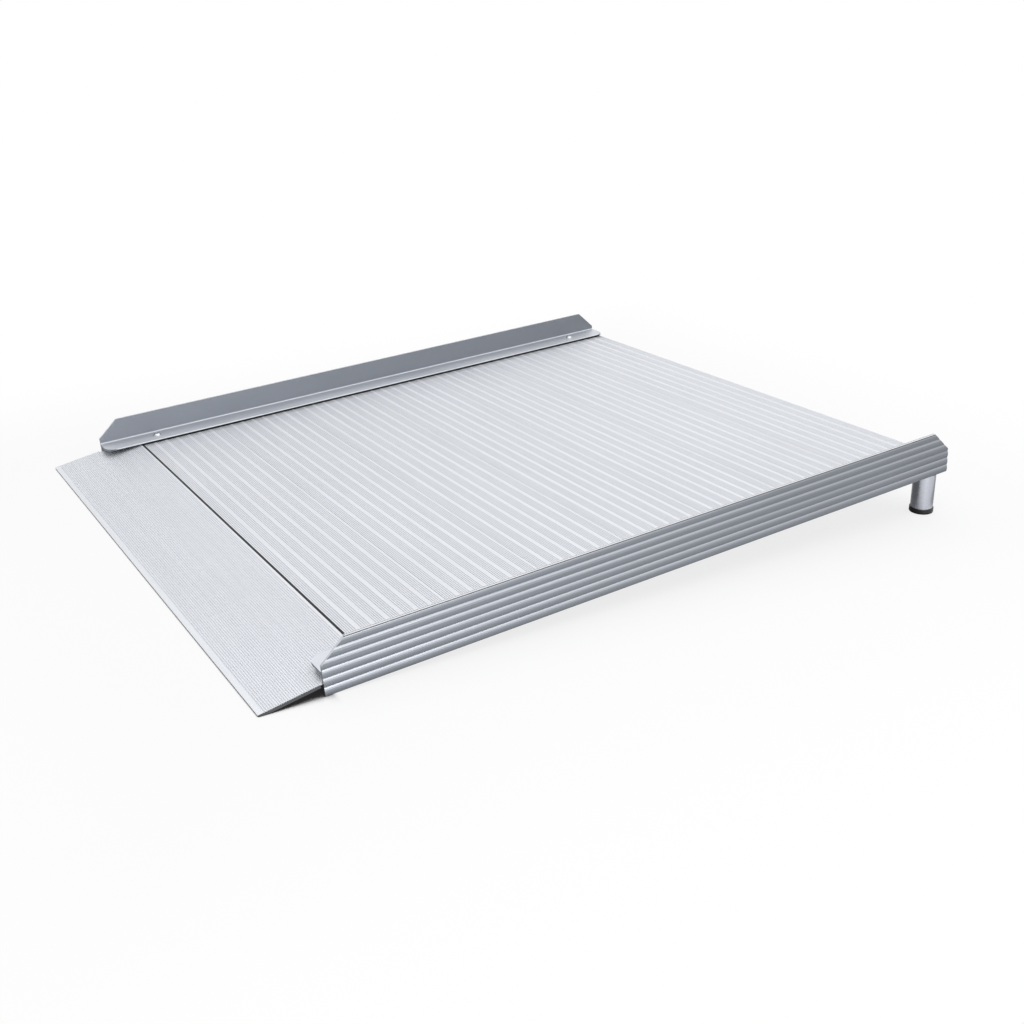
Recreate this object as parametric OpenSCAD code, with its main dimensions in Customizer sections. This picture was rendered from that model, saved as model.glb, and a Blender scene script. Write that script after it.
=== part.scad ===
// Threshold ramp: seven hooked deck planks between two kerb rails, a hinged flap and two screw legs.
// X runs across the ramp, Y up the slope and Z up. The origin is on the floor under the middle.

/* [Overall] */
// Width over the outer faces of the two rails
ramp_w = 700; // [600:10:900]
// Height of the deck's rear edge above the floor
rear_h = 67.3; // [64:0.1:90]

/* [Deck planks] */
// Pitch of the seven planks along the slope
plank_pitch = 100; // [90:1:120]
// Thickness of a plank
plank_h = 17; // [15:0.5:19]
// Thickness of a plank's top wall, grooves included
top_wall = 2.6; // [2.2:0.1:3.2]
// Thickness of a plank's bottom wall
bottom_wall = 1.8; // [1.4:0.1:2.6]
// Thickness of a plank's upright walls
web_t = 1.8; // [1.4:0.1:2.4]

/* [Grooves] */
// Grooves between two smooth bands of the deck
grooves_per_cell = 5; // [3:1:5]
// Pitch of the grooves, on the deck and on the flap
groove_pitch = 2.1; // [1.9:0.05:2.2]
// Width of a groove at the surface
groove_w = 1.1; // [0.8:0.05:1.3]
// Width of a groove at its floor
groove_floor_w = 0.4; // [0.2:0.05:0.6]
// Depth of a groove
groove_d = 0.55; // [0.3:0.05:0.8]
// Shift of the groove pattern from the planks' pitch lines, up the slope
pattern_shift = 0.4; // [0:0.1:1]

/* [Plank joint] */
// Shift of the joint slots from the planks' pitch lines, up the slope
joint_shift = 1.4; // [1:0.1:2]
// Width of the slot that shows between two planks
joint_slot = 0.5; // [0.3:0.1:0.8]
// Width of the lip that hangs down from the next plank
lip_w = 2.4; // [2:0.1:3]
// Depth of that lip below the deck
lip_d = 5; // [4.5:0.1:6]
// Thickness of the next plank's nose over the hook
nose_t = 2.4; // [2:0.1:2.6]
// Width of the hook that stands up behind the lip
hook_w = 2.4; // [2:0.1:3]
// Thickness of the tongue under the hook
tongue_t = 3; // [2.4:0.1:3.6]
// Gap between the sliding faces of a joint
slide_gap = 0.2; // [0.1:0.05:0.25]

/* [Side rails] */
// Height of a rail, from its underside to the kerb's top
rail_h = 50; // [45:1:60]
// Thickness of the kerb over the crests of its ribs
rail_t = 3; // [2.6:0.1:4]
// Ribs on a rail's outer face
rib_count = 6; // [4:1:8]
// Rise of a rib above the line between its edges
rib_rise = 0.8; // [0.5:0.05:1.2]
// Height of the lip along the kerb's top outer edge
kerb_lip = 0.6; // [0.4:0.1:1]
// Width of both flanges, from the rail's outer face
flange_w = 35; // [32:1:45]
// Thickness of the flange over the deck
flange_t = 2.6; // [2.2:0.1:3.2]
// Radius of the upper flange's inner edge
flange_edge_r = 1; // [0.5:0.1:1.2]
// Thickness of the flange under the deck
lower_flange_t = 2.2; // [1.8:0.1:2.2]
// Width of the undercut below the upper flange's inner edge
undercut_w = 4; // [2:0.5:6]
// Height of that undercut
undercut_h = 1.2; // [0.8:0.1:1.4]
// Radius of the inner corner between kerb and flange
fold_r = 1.6; // [1:0.1:2.5]
// Radius of the flange's corners, seen from above
flange_corner_r = 14; // [8:1:18]
// Length of the rails in front of the hinge line
front_reach = 43.3; // [35:0.1:50]
// Length of the rails behind the deck
rear_reach = 7; // [3:0.5:10]
// Length of the front cut at the kerb's top
front_cut_l = 24; // [15:1:30]
// Height of the front cut
front_cut_h = 21; // [12:1:24]
// Length and height of the rear cut
rear_cut = 22.8; // [12:0.1:24]
// Width of the thin groove along the kerb's top edge
edge_groove_w = 0.5; // [0.3:0.1:0.8]
// Depth of that groove
edge_groove_d = 0.5; // [0.3:0.1:0.8]
// Distance from the hinge line to the front end of the lower flange
lower_flange_start = 8; // [7:1:16]
// Gap between the deck planks and a kerb
side_gap = 0.3; // [0.2:0.1:0.6]
// Gap between the planks and the flange over them
seat_gap = 0.1; // [0.05:0.05:0.2]
// Gap between the planks and the flange under them
rest_gap = 0.3; // [0.1:0.05:0.5]

/* [Hinge] */
// Radius of the hinge bead
bead_r = 3.5; // [3:0.1:3.8]
// Running gap round the bead
bead_gap = 0.08; // [0.05:0.01:0.1]
// Wall of the hinge socket
socket_wall = 2; // [1.6:0.1:2.4]
// Depth of the hinge axis below the deck
pivot_d = 6; // [5.9:0.1:6.4]
// Distance of the hinge axis behind the hinge line
pivot_s = 0.35; // [0:0.05:0.6]
// Distance from the hinge line to the front edge of the deck
deck_front = 1.2; // [1:0.1:1.5]
// Rise of the lower socket lip's edge round the bead, below the forward direction
lip_angle = 28; // [22:1:34]

/* [Flap] */
// Length of the flap along its slope, from the hinge axis to its tip
flap_len = 102; // [90:1:130]
// Thickness of the flap's plate
flap_t = 3.2; // [2.8:0.1:3.4]
// Drop of the flap's top below the deck's top, over the hinge axis
flap_set = 0.15; // [0.15:0.01:0.2]
// Height of the tip's top edge above the floor
tip_h = 1.8; // [1.5:0.1:2.4]
// Smooth band at the tip
tip_band = 3.8; // [3:0.1:6]
// Smooth band at the hinge
hinge_band = 3; // [2:0.1:6]
// Gap between the rails' front corners and the ends of the flap's notches
notch_gap = 0.81; // [0.5:0.01:3]
// Gap between the flap and a kerb
flap_gap = 0.8; // [0.5:0.1:2]
// Length of the web that joins the bead to the plate
web_reach = 5.2; // [4.5:0.1:6]
// Thickness of the rubber strip under the tip
strip_t = 0.8; // [0.6:0.1:1]
// Width of the rubber strip
strip_w = 7; // [5:0.5:8]
// Distance of the strip behind the tip
strip_set = 0.3; // [0.2:0.1:1]
// Glue line over the strip
strip_gap = 0.02; // [0.01:0.01:0.05]

/* [Rail screws] */
// Distance of the screws from the rail's outer face
screw_in = 18; // [17:0.5:19]
// Distance of the front screws behind the hinge line
screw_front = 24; // [23:0.5:27]
// Distance of the rear screws in front of the deck's rear edge
screw_rear = 45; // [42:0.5:47]
// Thread diameter of the screws
screw_d = 6; // [5:1:6]
// Diameter of the button head
head_d = 10.5; // [9.5:0.1:11]
// Height of the button head
head_h = 3.3; // [2.7:0.1:3.5]
// Width across flats of the hexagon socket
socket_af = 4; // [3:0.5:4]
// Depth of the hexagon socket
socket_d = 2; // [1.5:0.1:2.2]
// Length of the screws under the head
screw_l = 14; // [12:1:15]
// Radial gap between a screw and its clearance holes
screw_gap = 0.3; // [0.2:0.05:0.5]
// Thickness of a nut bar
nut_bar_t = 5; // [4:0.5:6]
// Length of a nut bar, across the ramp
nut_bar_l = 16; // [12:1:22]

/* [Legs] */
// Distance of a leg's axis from the rail's outer face
leg_in = 14.4; // [14:0.1:16]
// Distance of the leg's axis in front of the deck's rear edge, on the rail's underside
leg_s_back = 12; // [11.5:0.5:14]
// Diameter of a leg tube
tube_d = 25; // [22:0.5:26]
// Wall of a leg tube
tube_wall = 2; // [1.5:0.1:2.2]
// Gap between the tube's end and the rail, where they are closest
tube_top_gap = 0.25; // [0.2:0.05:0.6]
// Diameter of the stud
stud_d = 10; // [8:0.5:10]
// Length of the stud below the rail
stud_drop = 36; // [30:1:37]
// Radial gap between the stud and each threaded bore
thread_gap = 0.05; // [0.03:0.01:0.08]
// Radial gap between the stud and its holes in the rail and the plank
stud_hole_gap = 0.7; // [0.5:0.1:1]
// Length of the block inside the plank
block_l = 27; // [24:1:30]
// Radial gap between the taper washer and the tube's bore
washer_gap = 1; // [0.5:0.1:2]
// Thickness of the taper washer where it is thinnest
washer_t = 1; // [0.8:0.1:1.5]
// Radial gap between the clamp nut's corners and the tube's bore
nut_gap = 1.26; // [0.5:0.01:2]
// Thickness of the clamp nut
nut_t = 5; // [4:0.5:6]
// Depth of the insert's top face below the tube's top
insert_depth = 10; // [10:0.5:12]
// Length of the insert
insert_l = 12; // [9:0.5:12]
// Diameter of the foot cap
cap_d = 26.8; // [26.4:0.1:28]
// Height of the foot cap
cap_h = 6; // [5:0.5:8]
// Thickness of the cap's floor
cap_floor = 2.5; // [2:0.1:3]
// Radius of the cap's lower edge
cap_round = 1.6; // [1:0.1:2]
// Radial gap between the tube and its cap
cap_gap = 0.06; // [0.04:0.01:0.1]
// Gap between the tube's end and the cap's floor
tube_end_gap = 0.1; // [0.05:0.05:0.3]

/* [Hidden] */
$fn = 96;

// Extra length by which a cutting shape passes the solid that it cuts
past = 1;
// Sides of a hexagon
hexagon = 6;

plank_count = 7;
cells = 7;
deck_l = plank_count * plank_pitch;
cell = plank_pitch / cells;
half_w = ramp_w / 2;
kerb_in = half_w - rail_t;
deck_half = kerb_in - side_gap;

// A rail holds the planks between its flanges, and the rest of its height is the kerb
rail_drop = plank_h + rest_gap + lower_flange_t;
kerb_h = rail_h - rail_drop;

// The slope follows from the rear height, with the rails' front corners on the floor
rail_run = front_reach + deck_l;
slope = asin(rear_h / norm([rail_drop, rail_run])) - atan2(rail_drop, rail_run);
hinge_z = rail_drop * cos(slope) + front_reach * sin(slope);

// Hinge axis, measured from the hinge line on the floor, and the flap's top above it
flap_top = pivot_d - flap_set;
pivot_y = pivot_s * cos(slope) + pivot_d * sin(slope);
pivot_z = hinge_z + pivot_s * sin(slope) - pivot_d * cos(slope);

// The flap's own slope puts its tip just above the floor
flap_slope = asin((pivot_z - tip_h) / norm([flap_len, flap_top])) + atan2(flap_top, flap_len);
tip_y = pivot_y - flap_len * cos(flap_slope) - flap_top * sin(flap_slope);

// The notches end outside the circle that the rails' front corners draw round the hinge axis
notch_a = norm([front_reach + pivot_s, rail_drop - pivot_d]) + notch_gap;

// The frame's origin is under the middle of the whole ramp
rail_end_y = (deck_l + rear_reach) * cos(slope) + rail_drop * sin(slope);
mid_y = (tip_y + rail_end_y) / 2;

// Joint between two planks, measured from the middle of its slot
slot_half = joint_slot / 2;
hook_start = lip_w + slide_gap;
tongue_l = hook_start + hook_w;
tongue_top = lip_d + slide_gap;
tongue_bottom = tongue_top + tongue_t;
front_wall = tongue_l + slide_gap;

// Upright walls stand under every second smooth band
web_bands = [1, 3, 5];
function band_s(i) = i * cell + pattern_shift;

socket_r = bead_r + bead_gap;
socket_out = socket_r + socket_wall;

// Nut bars fill the chambers that the screws reach
screw_plank_rear = plank_count - 1;
front_bar_lo = band_s(web_bands[0]) + web_t / 2;
front_bar_hi = band_s(web_bands[1]) - web_t / 2;
rear_bar_lo = screw_plank_rear * plank_pitch + band_s(web_bands[1]) + web_t / 2;
rear_bar_hi = screw_plank_rear * plank_pitch + band_s(web_bands[2]) - web_t / 2;
block_lo = screw_plank_rear * plank_pitch + band_s(web_bands[2]) + web_t / 2;
block_hi = deck_l - web_t;
screw_x = half_w - screw_in;
screw_hole_d = screw_d + 2 * screw_gap;
screw_places = [screw_front, deck_l - screw_rear];
head_seat = seat_gap + flange_t;

// Leg axis, and the rail's underside on it
leg_x = half_w - leg_in;
leg_s = deck_l - leg_s_back;
leg_y = leg_s * cos(slope) + rail_drop * sin(slope);
under_z = hinge_z + leg_s * sin(slope) - rail_drop * cos(slope);
tube_r = tube_d / 2;
tube_bore = tube_r - tube_wall;
washer_d = 2 * (tube_bore - washer_gap);
nut_af = 2 * (tube_bore - nut_gap) * cos(180 / hexagon);
tube_top = under_z - tube_r * tan(slope) - tube_top_gap;
tube_bottom = cap_floor + tube_end_gap;
washer_bottom = under_z - washer_d / 2 * tan(slope) - washer_t;
nut_bottom = washer_bottom - nut_t;
insert_top = tube_top - insert_depth;
stud_r = stud_d / 2;
stud_hole_d = stud_d + 2 * stud_hole_gap;
thread_r = stud_r + thread_gap;
stud_top = hinge_z + leg_s * sin(slope) - (top_wall + 2 * slide_gap) * cos(slope) - stud_r * tan(slope);

// Places the deck's own frame: X across, Y up the slope from the hinge line, Z out of the deck
module on_deck() {
    translate([0, -mid_y, hinge_z]) rotate([slope, 0, 0]) children();
}

// Places the flap's own frame, with its origin on the hinge axis
module on_flap() {
    translate([0, pivot_y - mid_y, pivot_z]) rotate([flap_slope, 0, 0]) children();
}

// Places a leg's own frame, upright on the floor; side is 1 on the right and -1 on the left
module on_leg(side) {
    translate([side * leg_x, leg_y - mid_y, 0]) children();
}

// Extrudes a section drawn along the slope and upwards, for this width about the middle
module across(width) {
    rotate([90, 0, 90]) linear_extrude(width, center = true) children();
}

// Rectangle between two corners
module span(lo, hi) {
    translate(lo) square(hi - lo);
}

// Box between two corners
module block(lo, hi) {
    translate(lo) cube(hi - lo);
}

// One groove's section, with its mouth at y = 0
module groove_cut() {
    polygon([
        [-groove_w / 2, past],
        [-groove_w / 2, 0],
        [-groove_floor_w / 2, -groove_d],
        [groove_floor_w / 2, -groove_d],
        [groove_w / 2, 0],
        [groove_w / 2, past]
    ]);
}

// Grooves of one plank, five to a cell with a smooth band between cells
module plank_grooves() {
    for (c = [0 : cells - 1], g = [0 : grooves_per_cell - 1]) {
        middle = (c + 0.5) * cell + pattern_shift;
        translate([middle + (g - (grooves_per_cell - 1) / 2) * groove_pitch, 0]) groove_cut();
    }
}

// Hollow chambers of a plank between its front and rear walls
module plank_chambers(front, rear) {
    walls = [for (i = web_bands) band_s(i)];
    starts = concat([front], [for (w = walls) w + web_t / 2]);
    ends = concat([for (w = walls) w - web_t / 2], [rear]);
    for (i = [0 : len(starts) - 1]) {
        span([starts[i], -plank_h + bottom_wall], [ends[i], -top_wall]);
    }
}

// Front of a plank that hangs over the hook of the plank before it
module joint_front() {
    s = joint_shift;
    span([s + slot_half, -nose_t], [s + front_wall + web_t, 0]);
    span([s + slot_half, -lip_d], [s + lip_w, 0]);
    span([s + front_wall, -plank_h], [s + front_wall + web_t, 0]);
    span([s + slot_half, -plank_h], [s + front_wall + web_t, -plank_h + bottom_wall]);
    span([s + slot_half, -plank_h], [s + slot_half + web_t, -tongue_bottom - slide_gap]);
}

// Rear of a plank, with the tongue and its hook
module joint_rear() {
    s = plank_pitch + joint_shift;
    span([s - slot_half - web_t, -tongue_bottom], [s + tongue_l, -tongue_top]);
    span([s + hook_start, -tongue_bottom], [s + tongue_l, -nose_t - slide_gap]);
}

// Front of the first plank: a C-shaped socket round the hinge axis, open towards the flap
module socket_front() {
    open_r = socket_out + past;
    difference() {
        union() {
            difference() {
                translate([pivot_s, -pivot_d]) circle(socket_out);
                translate([pivot_s, -pivot_d]) polygon([
                    [0, 0],
                    [0, 2 * open_r],
                    [-2 * open_r, 2 * open_r],
                    [-2 * open_r, -2 * open_r * tan(lip_angle)]
                ]);
                span([-open_r, 0], [2 * open_r, open_r]);
            }
            span([deck_front, -top_wall], [pivot_s + socket_out + web_t, 0]);
            span([pivot_s + socket_r, -pivot_d - web_t], [pivot_s + socket_out + web_t, 0]);
            span([pivot_s + socket_out, -plank_h], [pivot_s + socket_out + web_t, 0]);
        }
        translate([pivot_s, -pivot_d]) circle(socket_r);
    }
}

// Whole section of plank number k, with s = 0 on its front pitch line
module plank_section(k) {
    first = k == 1;
    last = k == plank_count;
    front_in = first ? pivot_s + socket_out + web_t : joint_shift + front_wall + web_t;
    rear_out = last ? plank_pitch : plank_pitch + joint_shift - slot_half;
    difference() {
        union() {
            span([front_in - web_t, -plank_h], [rear_out, 0]);
            if (first) socket_front();
            if (!first) joint_front();
            if (!last) joint_rear();
        }
        plank_chambers(front_in, rear_out - web_t);
        plank_grooves();
    }
}

// Clearance holes for the screws through the top of plank number k, seen from its front pitch line
module plank_screw_holes(s) {
    for (side = [-1, 1]) {
        translate([side * screw_x, s, -top_wall - past])
            cylinder(d = screw_hole_d, h = top_wall + 2 * past);
    }
}

// Plank number k
module plank(k) {
    start = (k - 1) * plank_pitch;
    color("gainsboro") difference() {
        on_deck() difference() {
            translate([0, start, 0]) across(2 * deck_half) plank_section(k);
            if (k == 1) plank_screw_holes(screw_places[0]);
            if (k == plank_count) plank_screw_holes(screw_places[1]);
        }
        if (k == plank_count) {
            for (side = [-1, 1]) {
                on_leg(side) translate([0, 0, under_z - past])
                    cylinder(d = stud_hole_d, h = rail_drop - plank_h + bottom_wall + 2 * past);
            }
        }
    }
}

// Section of the flap, with the hinge axis at the origin
module flap_section() {
    first_groove = -hinge_band - groove_w / 2;
    room = flap_len - tip_band - hinge_band - groove_w;
    count = floor(room / groove_pitch);
    difference() {
        union() {
            span([-flap_len, flap_top - flap_t], [0, flap_top]);
            circle(bead_r);
            polygon([
                [-web_reach, flap_top - flap_t],
                [-bead_r * cos(30), bead_r * sin(30)],
                [0, 0],
                [0, flap_top - flap_t]
            ]);
        }
        for (g = [0 : count]) {
            translate([first_groove - g * groove_pitch, flap_top]) groove_cut();
        }
    }
}

// Approach flap: grooved plate, hinge bead, corner notches for the kerbs and a level tip
module approach_flap() {
    color("gainsboro") difference() {
        on_flap() difference() {
            across(ramp_w) flap_section();
            for (side = [-1, 1]) {
                translate([side * half_w, 0, 0])
                    block(
                        [-rail_t - flap_gap, -notch_a, -2 * bead_r],
                        [rail_t + flap_gap, 2 * bead_r, flap_top + past]
                    );
            }
        }
        translate([0, tip_y - mid_y, 0])
            block([-half_w - past, -past, -flap_t], [half_w + past, flap_len / 2, strip_t + strip_gap]);
    }
}

// Rubber strip under the flap's tip
module floor_strip() {
    color("black") translate([0, tip_y - mid_y + strip_set, 0])
        block([-half_w + strip_set, 0, 0], [half_w - strip_set, strip_w, strip_t]);
}

// Section of the right rail: x from the ramp's middle, y from the deck's top
module rail_section() {
    rib_h = rail_h / rib_count;
    rib_r = (rib_h * rib_h / 4 + rib_rise * rib_rise) / (2 * rib_rise);
    face = half_w - rib_rise;
    flange_in = half_w - flange_w;
    difference() {
        union() {
            span([kerb_in, -rail_drop], [face, kerb_h]);
            for (i = [0 : rib_count - 1]) {
                rib_top = kerb_h - i * rib_h;
                intersection() {
                    translate([half_w - rib_r, rib_top - rib_h / 2]) circle(rib_r);
                    span([kerb_in + rib_rise, rib_top - rib_h], [half_w + past, rib_top]);
                }
            }
            // Lip along the top outer edge
            span([kerb_in + rib_rise, kerb_h - kerb_lip], [half_w, kerb_h]);
            // Upper flange with its rounded inner edge, and lower flange
            span([flange_in + flange_edge_r, seat_gap], [kerb_in + rib_rise, head_seat]);
            span([flange_in, seat_gap], [flange_in + flange_edge_r, head_seat - flange_edge_r]);
            translate([flange_in + flange_edge_r, head_seat - flange_edge_r]) circle(flange_edge_r);
            span([flange_in, -rail_drop], [kerb_in + rib_rise, -rail_drop + lower_flange_t]);
            difference() {
                span([kerb_in - fold_r, head_seat - rib_rise], [kerb_in + rib_rise, head_seat + fold_r]);
                translate([kerb_in - fold_r, head_seat + fold_r]) circle(fold_r);
            }
        }
        span([flange_in - past, seat_gap - past], [flange_in + undercut_w, seat_gap + undercut_h]);
        translate([kerb_in + (rail_t - rib_rise) / 2 - edge_groove_w / 2, kerb_h - edge_groove_d])
            square([edge_groove_w, edge_groove_d + past]);
    }
}

// Sharp corner outside a rounded one of radius r, for cutting; it lies towards +x and +y
module corner_cut(r) {
    difference() {
        square(r + past);
        circle(r);
    }
}

// Right rail
module rail() {
    flange_in = half_w - flange_w;
    front = -front_reach;
    rear = deck_l + rear_reach;
    difference() {
        on_deck() difference() {
            translate([0, rear, 0]) rotate([90, 0, 0]) linear_extrude(rear - front) rail_section();
            // Sloping cuts at the kerb's upper corners
            translate([half_w, 0, 0]) across(4 * rail_t) polygon([
                [front - past, kerb_h - front_cut_h - past * front_cut_h / front_cut_l],
                [front + front_cut_l + past, kerb_h + past * front_cut_h / front_cut_l],
                [front - past, kerb_h + past * front_cut_h / front_cut_l]
            ]);
            translate([half_w, 0, 0]) across(4 * rail_t) polygon([
                [rear + past, kerb_h - rear_cut - past],
                [rear + past, kerb_h + past],
                [rear - rear_cut - past, kerb_h + past]
            ]);
            // The lower flange starts behind the hinge
            block(
                [flange_in - past, front - past, -rail_drop - past],
                [kerb_in, lower_flange_start, -plank_h / 2]
            );
            // Rounded corners of the upper flange
            translate([flange_in + flange_corner_r, front + flange_corner_r, seat_gap - past])
                linear_extrude(flange_t + 2 * past) rotate(180) corner_cut(flange_corner_r);
            translate([flange_in + flange_corner_r, rear - flange_corner_r, seat_gap - past])
                linear_extrude(flange_t + 2 * past) rotate(90) corner_cut(flange_corner_r);
            for (s = screw_places) {
                translate([screw_x, s, seat_gap - past]) cylinder(d = screw_hole_d, h = flange_t + 2 * past);
            }
        }
        on_leg(1) translate([0, 0, under_z - 2 * past])
            cylinder(d = stud_hole_d, h = lower_flange_t + 4 * past);
    }
}

module right_rail() {
    color("lightslategray") rail();
}

module left_rail() {
    color("lightslategray") mirror([1, 0, 0]) rail();
}

// Button-head screw with its bearing face at z = 0
module button_screw() {
    head_r = head_d / 2;
    dome_r = (head_r * head_r + head_h * head_h) / (2 * head_h);
    difference() {
        rotate_extrude() {
            intersection() {
                translate([0, head_h - dome_r]) circle(dome_r);
                square([head_r, head_h]);
            }
            translate([0, -screw_l]) square([screw_d / 2, screw_l + head_h / 2]);
        }
        translate([0, 0, head_h - socket_d])
            cylinder(d = socket_af / cos(180 / hexagon), h = socket_d + past, $fn = hexagon);
    }
}

// The four rail screws
module rail_screws() {
    color("silver") on_deck() {
        for (side = [-1, 1], s = screw_places) {
            translate([side * screw_x, s, head_seat]) button_screw();
        }
    }
}

// Nut bar between two walls of a plank, with its threaded hole on a screw
module nut_bar(lo, hi, s) {
    top = -top_wall - slide_gap / 2;
    difference() {
        block([-nut_bar_l / 2, lo + slide_gap, top - nut_bar_t], [nut_bar_l / 2, hi - slide_gap, top]);
        translate([0, s, top - nut_bar_t - past])
            cylinder(r = screw_d / 2 + thread_gap, h = nut_bar_t + 2 * past);
    }
}

// The four nut bars
module nut_bars() {
    color("darkgray") on_deck() {
        for (side = [-1, 1]) {
            translate([side * screw_x, 0, 0]) {
                nut_bar(front_bar_lo, front_bar_hi, screw_places[0]);
                nut_bar(rear_bar_lo, rear_bar_hi, screw_places[1]);
            }
        }
    }
}

// Block inside the last plank that holds a leg's stud
module leg_block(side) {
    low = -plank_h + bottom_wall + slide_gap / 2;
    color("darkgray") difference() {
        on_deck() translate([side * (deck_half - block_l / 2), 0, 0])
            block(
                [-block_l / 2, block_lo + slide_gap, low],
                [block_l / 2, block_hi - slide_gap, -top_wall - slide_gap]
            );
        on_leg(side) translate([0, 0, under_z - past]) cylinder(r = thread_r, h = rail_h);
    }
}

// Stud from the block down into the tube
module stud(side) {
    color("silver") on_leg(side) translate([0, 0, under_z - stud_drop])
        cylinder(r = stud_r, h = stud_top - under_z + stud_drop);
}

// Washers whose top faces follow the rail's slope and whose bottom faces are level
module taper_washers() {
    color("silver") for (side = [-1, 1]) {
        difference() {
            on_leg(side) translate([0, 0, washer_bottom]) difference() {
                cylinder(d = washer_d, h = 2 * washer_d * tan(slope) + washer_t);
                translate([0, 0, -past]) cylinder(r = thread_r, h = washer_d + 2 * past);
            }
            on_deck() translate([side * leg_x, leg_s, -rail_drop - seat_gap])
                block([-washer_d, -washer_d, 0], [washer_d, washer_d, washer_d]);
        }
    }
}

// Thin nuts that clamp the rail, plank and block on the studs
module clamp_nuts() {
    color("silver") for (side = [-1, 1]) {
        on_leg(side) translate([0, 0, nut_bottom - seat_gap]) difference() {
            cylinder(d = nut_af / cos(180 / hexagon), h = nut_t, $fn = hexagon);
            translate([0, 0, -past]) cylinder(r = thread_r, h = nut_t + 2 * past);
        }
    }
}

module leg_tube(side) {
    color("silver") on_leg(side) translate([0, 0, tube_bottom]) difference() {
        cylinder(r = tube_r, h = tube_top - tube_bottom);
        translate([0, 0, -past]) cylinder(r = tube_bore, h = tube_top - tube_bottom + 2 * past);
    }
}

// Threaded insert, a ring that fills the tube's bore
module insert(side) {
    color("darkgray") on_leg(side) translate([0, 0, insert_top - insert_l]) difference() {
        cylinder(r = tube_bore, h = insert_l);
        translate([0, 0, -past]) cylinder(r = thread_r, h = insert_l + 2 * past);
    }
}

// Foot cap with a rounded lower edge
module foot_cap(side) {
    cap_r = cap_d / 2;
    color("black") on_leg(side) rotate_extrude() difference() {
        union() {
            span([0, cap_round], [cap_r, cap_h]);
            span([0, 0], [cap_r - cap_round, cap_h]);
            translate([cap_r - cap_round, cap_round]) circle(cap_round);
        }
        span([-past, cap_floor], [tube_r + cap_gap, cap_h + past]);
    }
}

plank(1);  // plank_1
plank(2);  // plank_2
plank(3);  // plank_3
plank(4);  // plank_4
plank(5);  // plank_5
plank(6);  // plank_6
plank(7);  // plank_7
approach_flap();
floor_strip();
left_rail();
right_rail();
rail_screws();
nut_bars();
leg_block(-1);  // left_leg_block
leg_block(1);  // right_leg_block
stud(-1);  // left_stud
stud(1);  // right_stud
taper_washers();
clamp_nuts();
leg_tube(-1);  // left_leg_tube
leg_tube(1);  // right_leg_tube
insert(-1);  // left_insert
insert(1);  // right_insert
foot_cap(-1);  // left_foot_cap
foot_cap(1);  // right_foot_cap
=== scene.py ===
"""Finish of a low aluminium wheelchair ramp, dressed over its CAD frame.

The ramp stands on a pale floor as in the photograph: ribbed kerb rails on both
sides of a grooved deck, a hinged flap in front and screw-adjusted legs behind.
Lengths are in metres and places are in the frame's own axes.
"""

import logging
import math
from collections.abc import Callable, Sequence
from dataclasses import dataclass, field, replace
from enum import Enum
from functools import reduce
from typing import Any

import bmesh
import bpy
from mathutils import Matrix, Vector

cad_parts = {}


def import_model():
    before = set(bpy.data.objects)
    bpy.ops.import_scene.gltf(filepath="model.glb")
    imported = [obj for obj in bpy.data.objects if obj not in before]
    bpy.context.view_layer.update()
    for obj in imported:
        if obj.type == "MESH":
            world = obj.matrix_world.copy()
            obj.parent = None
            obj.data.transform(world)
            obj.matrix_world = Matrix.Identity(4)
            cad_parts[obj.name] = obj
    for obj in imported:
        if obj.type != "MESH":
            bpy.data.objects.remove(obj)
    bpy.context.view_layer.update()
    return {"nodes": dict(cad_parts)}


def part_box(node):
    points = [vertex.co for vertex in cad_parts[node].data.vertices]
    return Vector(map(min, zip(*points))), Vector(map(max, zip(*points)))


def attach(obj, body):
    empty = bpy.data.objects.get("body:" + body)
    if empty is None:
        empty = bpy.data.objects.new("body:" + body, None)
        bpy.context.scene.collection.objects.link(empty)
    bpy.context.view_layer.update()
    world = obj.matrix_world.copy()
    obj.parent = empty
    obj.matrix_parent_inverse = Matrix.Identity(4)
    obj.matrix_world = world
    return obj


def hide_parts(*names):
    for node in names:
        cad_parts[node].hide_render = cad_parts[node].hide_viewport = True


log = logging.getLogger("ramp")

Colour = tuple[float, float, float]
Point = tuple[float, float, float]
Wire = bpy.types.NodeSocket
MM = 0.001
WHITE: Colour = (1.0, 1.0, 1.0)


class Grain(Enum):
    """The way a drawn or turned grain runs, as the stretch of its pattern along x, y and z."""

    ACROSS = (0.02, 1.0, 1.0)
    ALONG = (1.0, 0.02, 1.0)
    UPRIGHT = (1.0, 1.0, 0.02)
    ROUND = (0.35, 0.35, 1.0)
    NONE = (1.0, 1.0, 1.0)


class TreeKind(Enum):
    """Kinds of node group."""

    SHADER = "ShaderNodeTree"
    GEOMETRY = "GeometryNodeTree"


def rgba(colour: Colour) -> tuple[float, float, float, float]:
    """A colour with full alpha."""
    return (*colour, 1.0)


# Node trees


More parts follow.
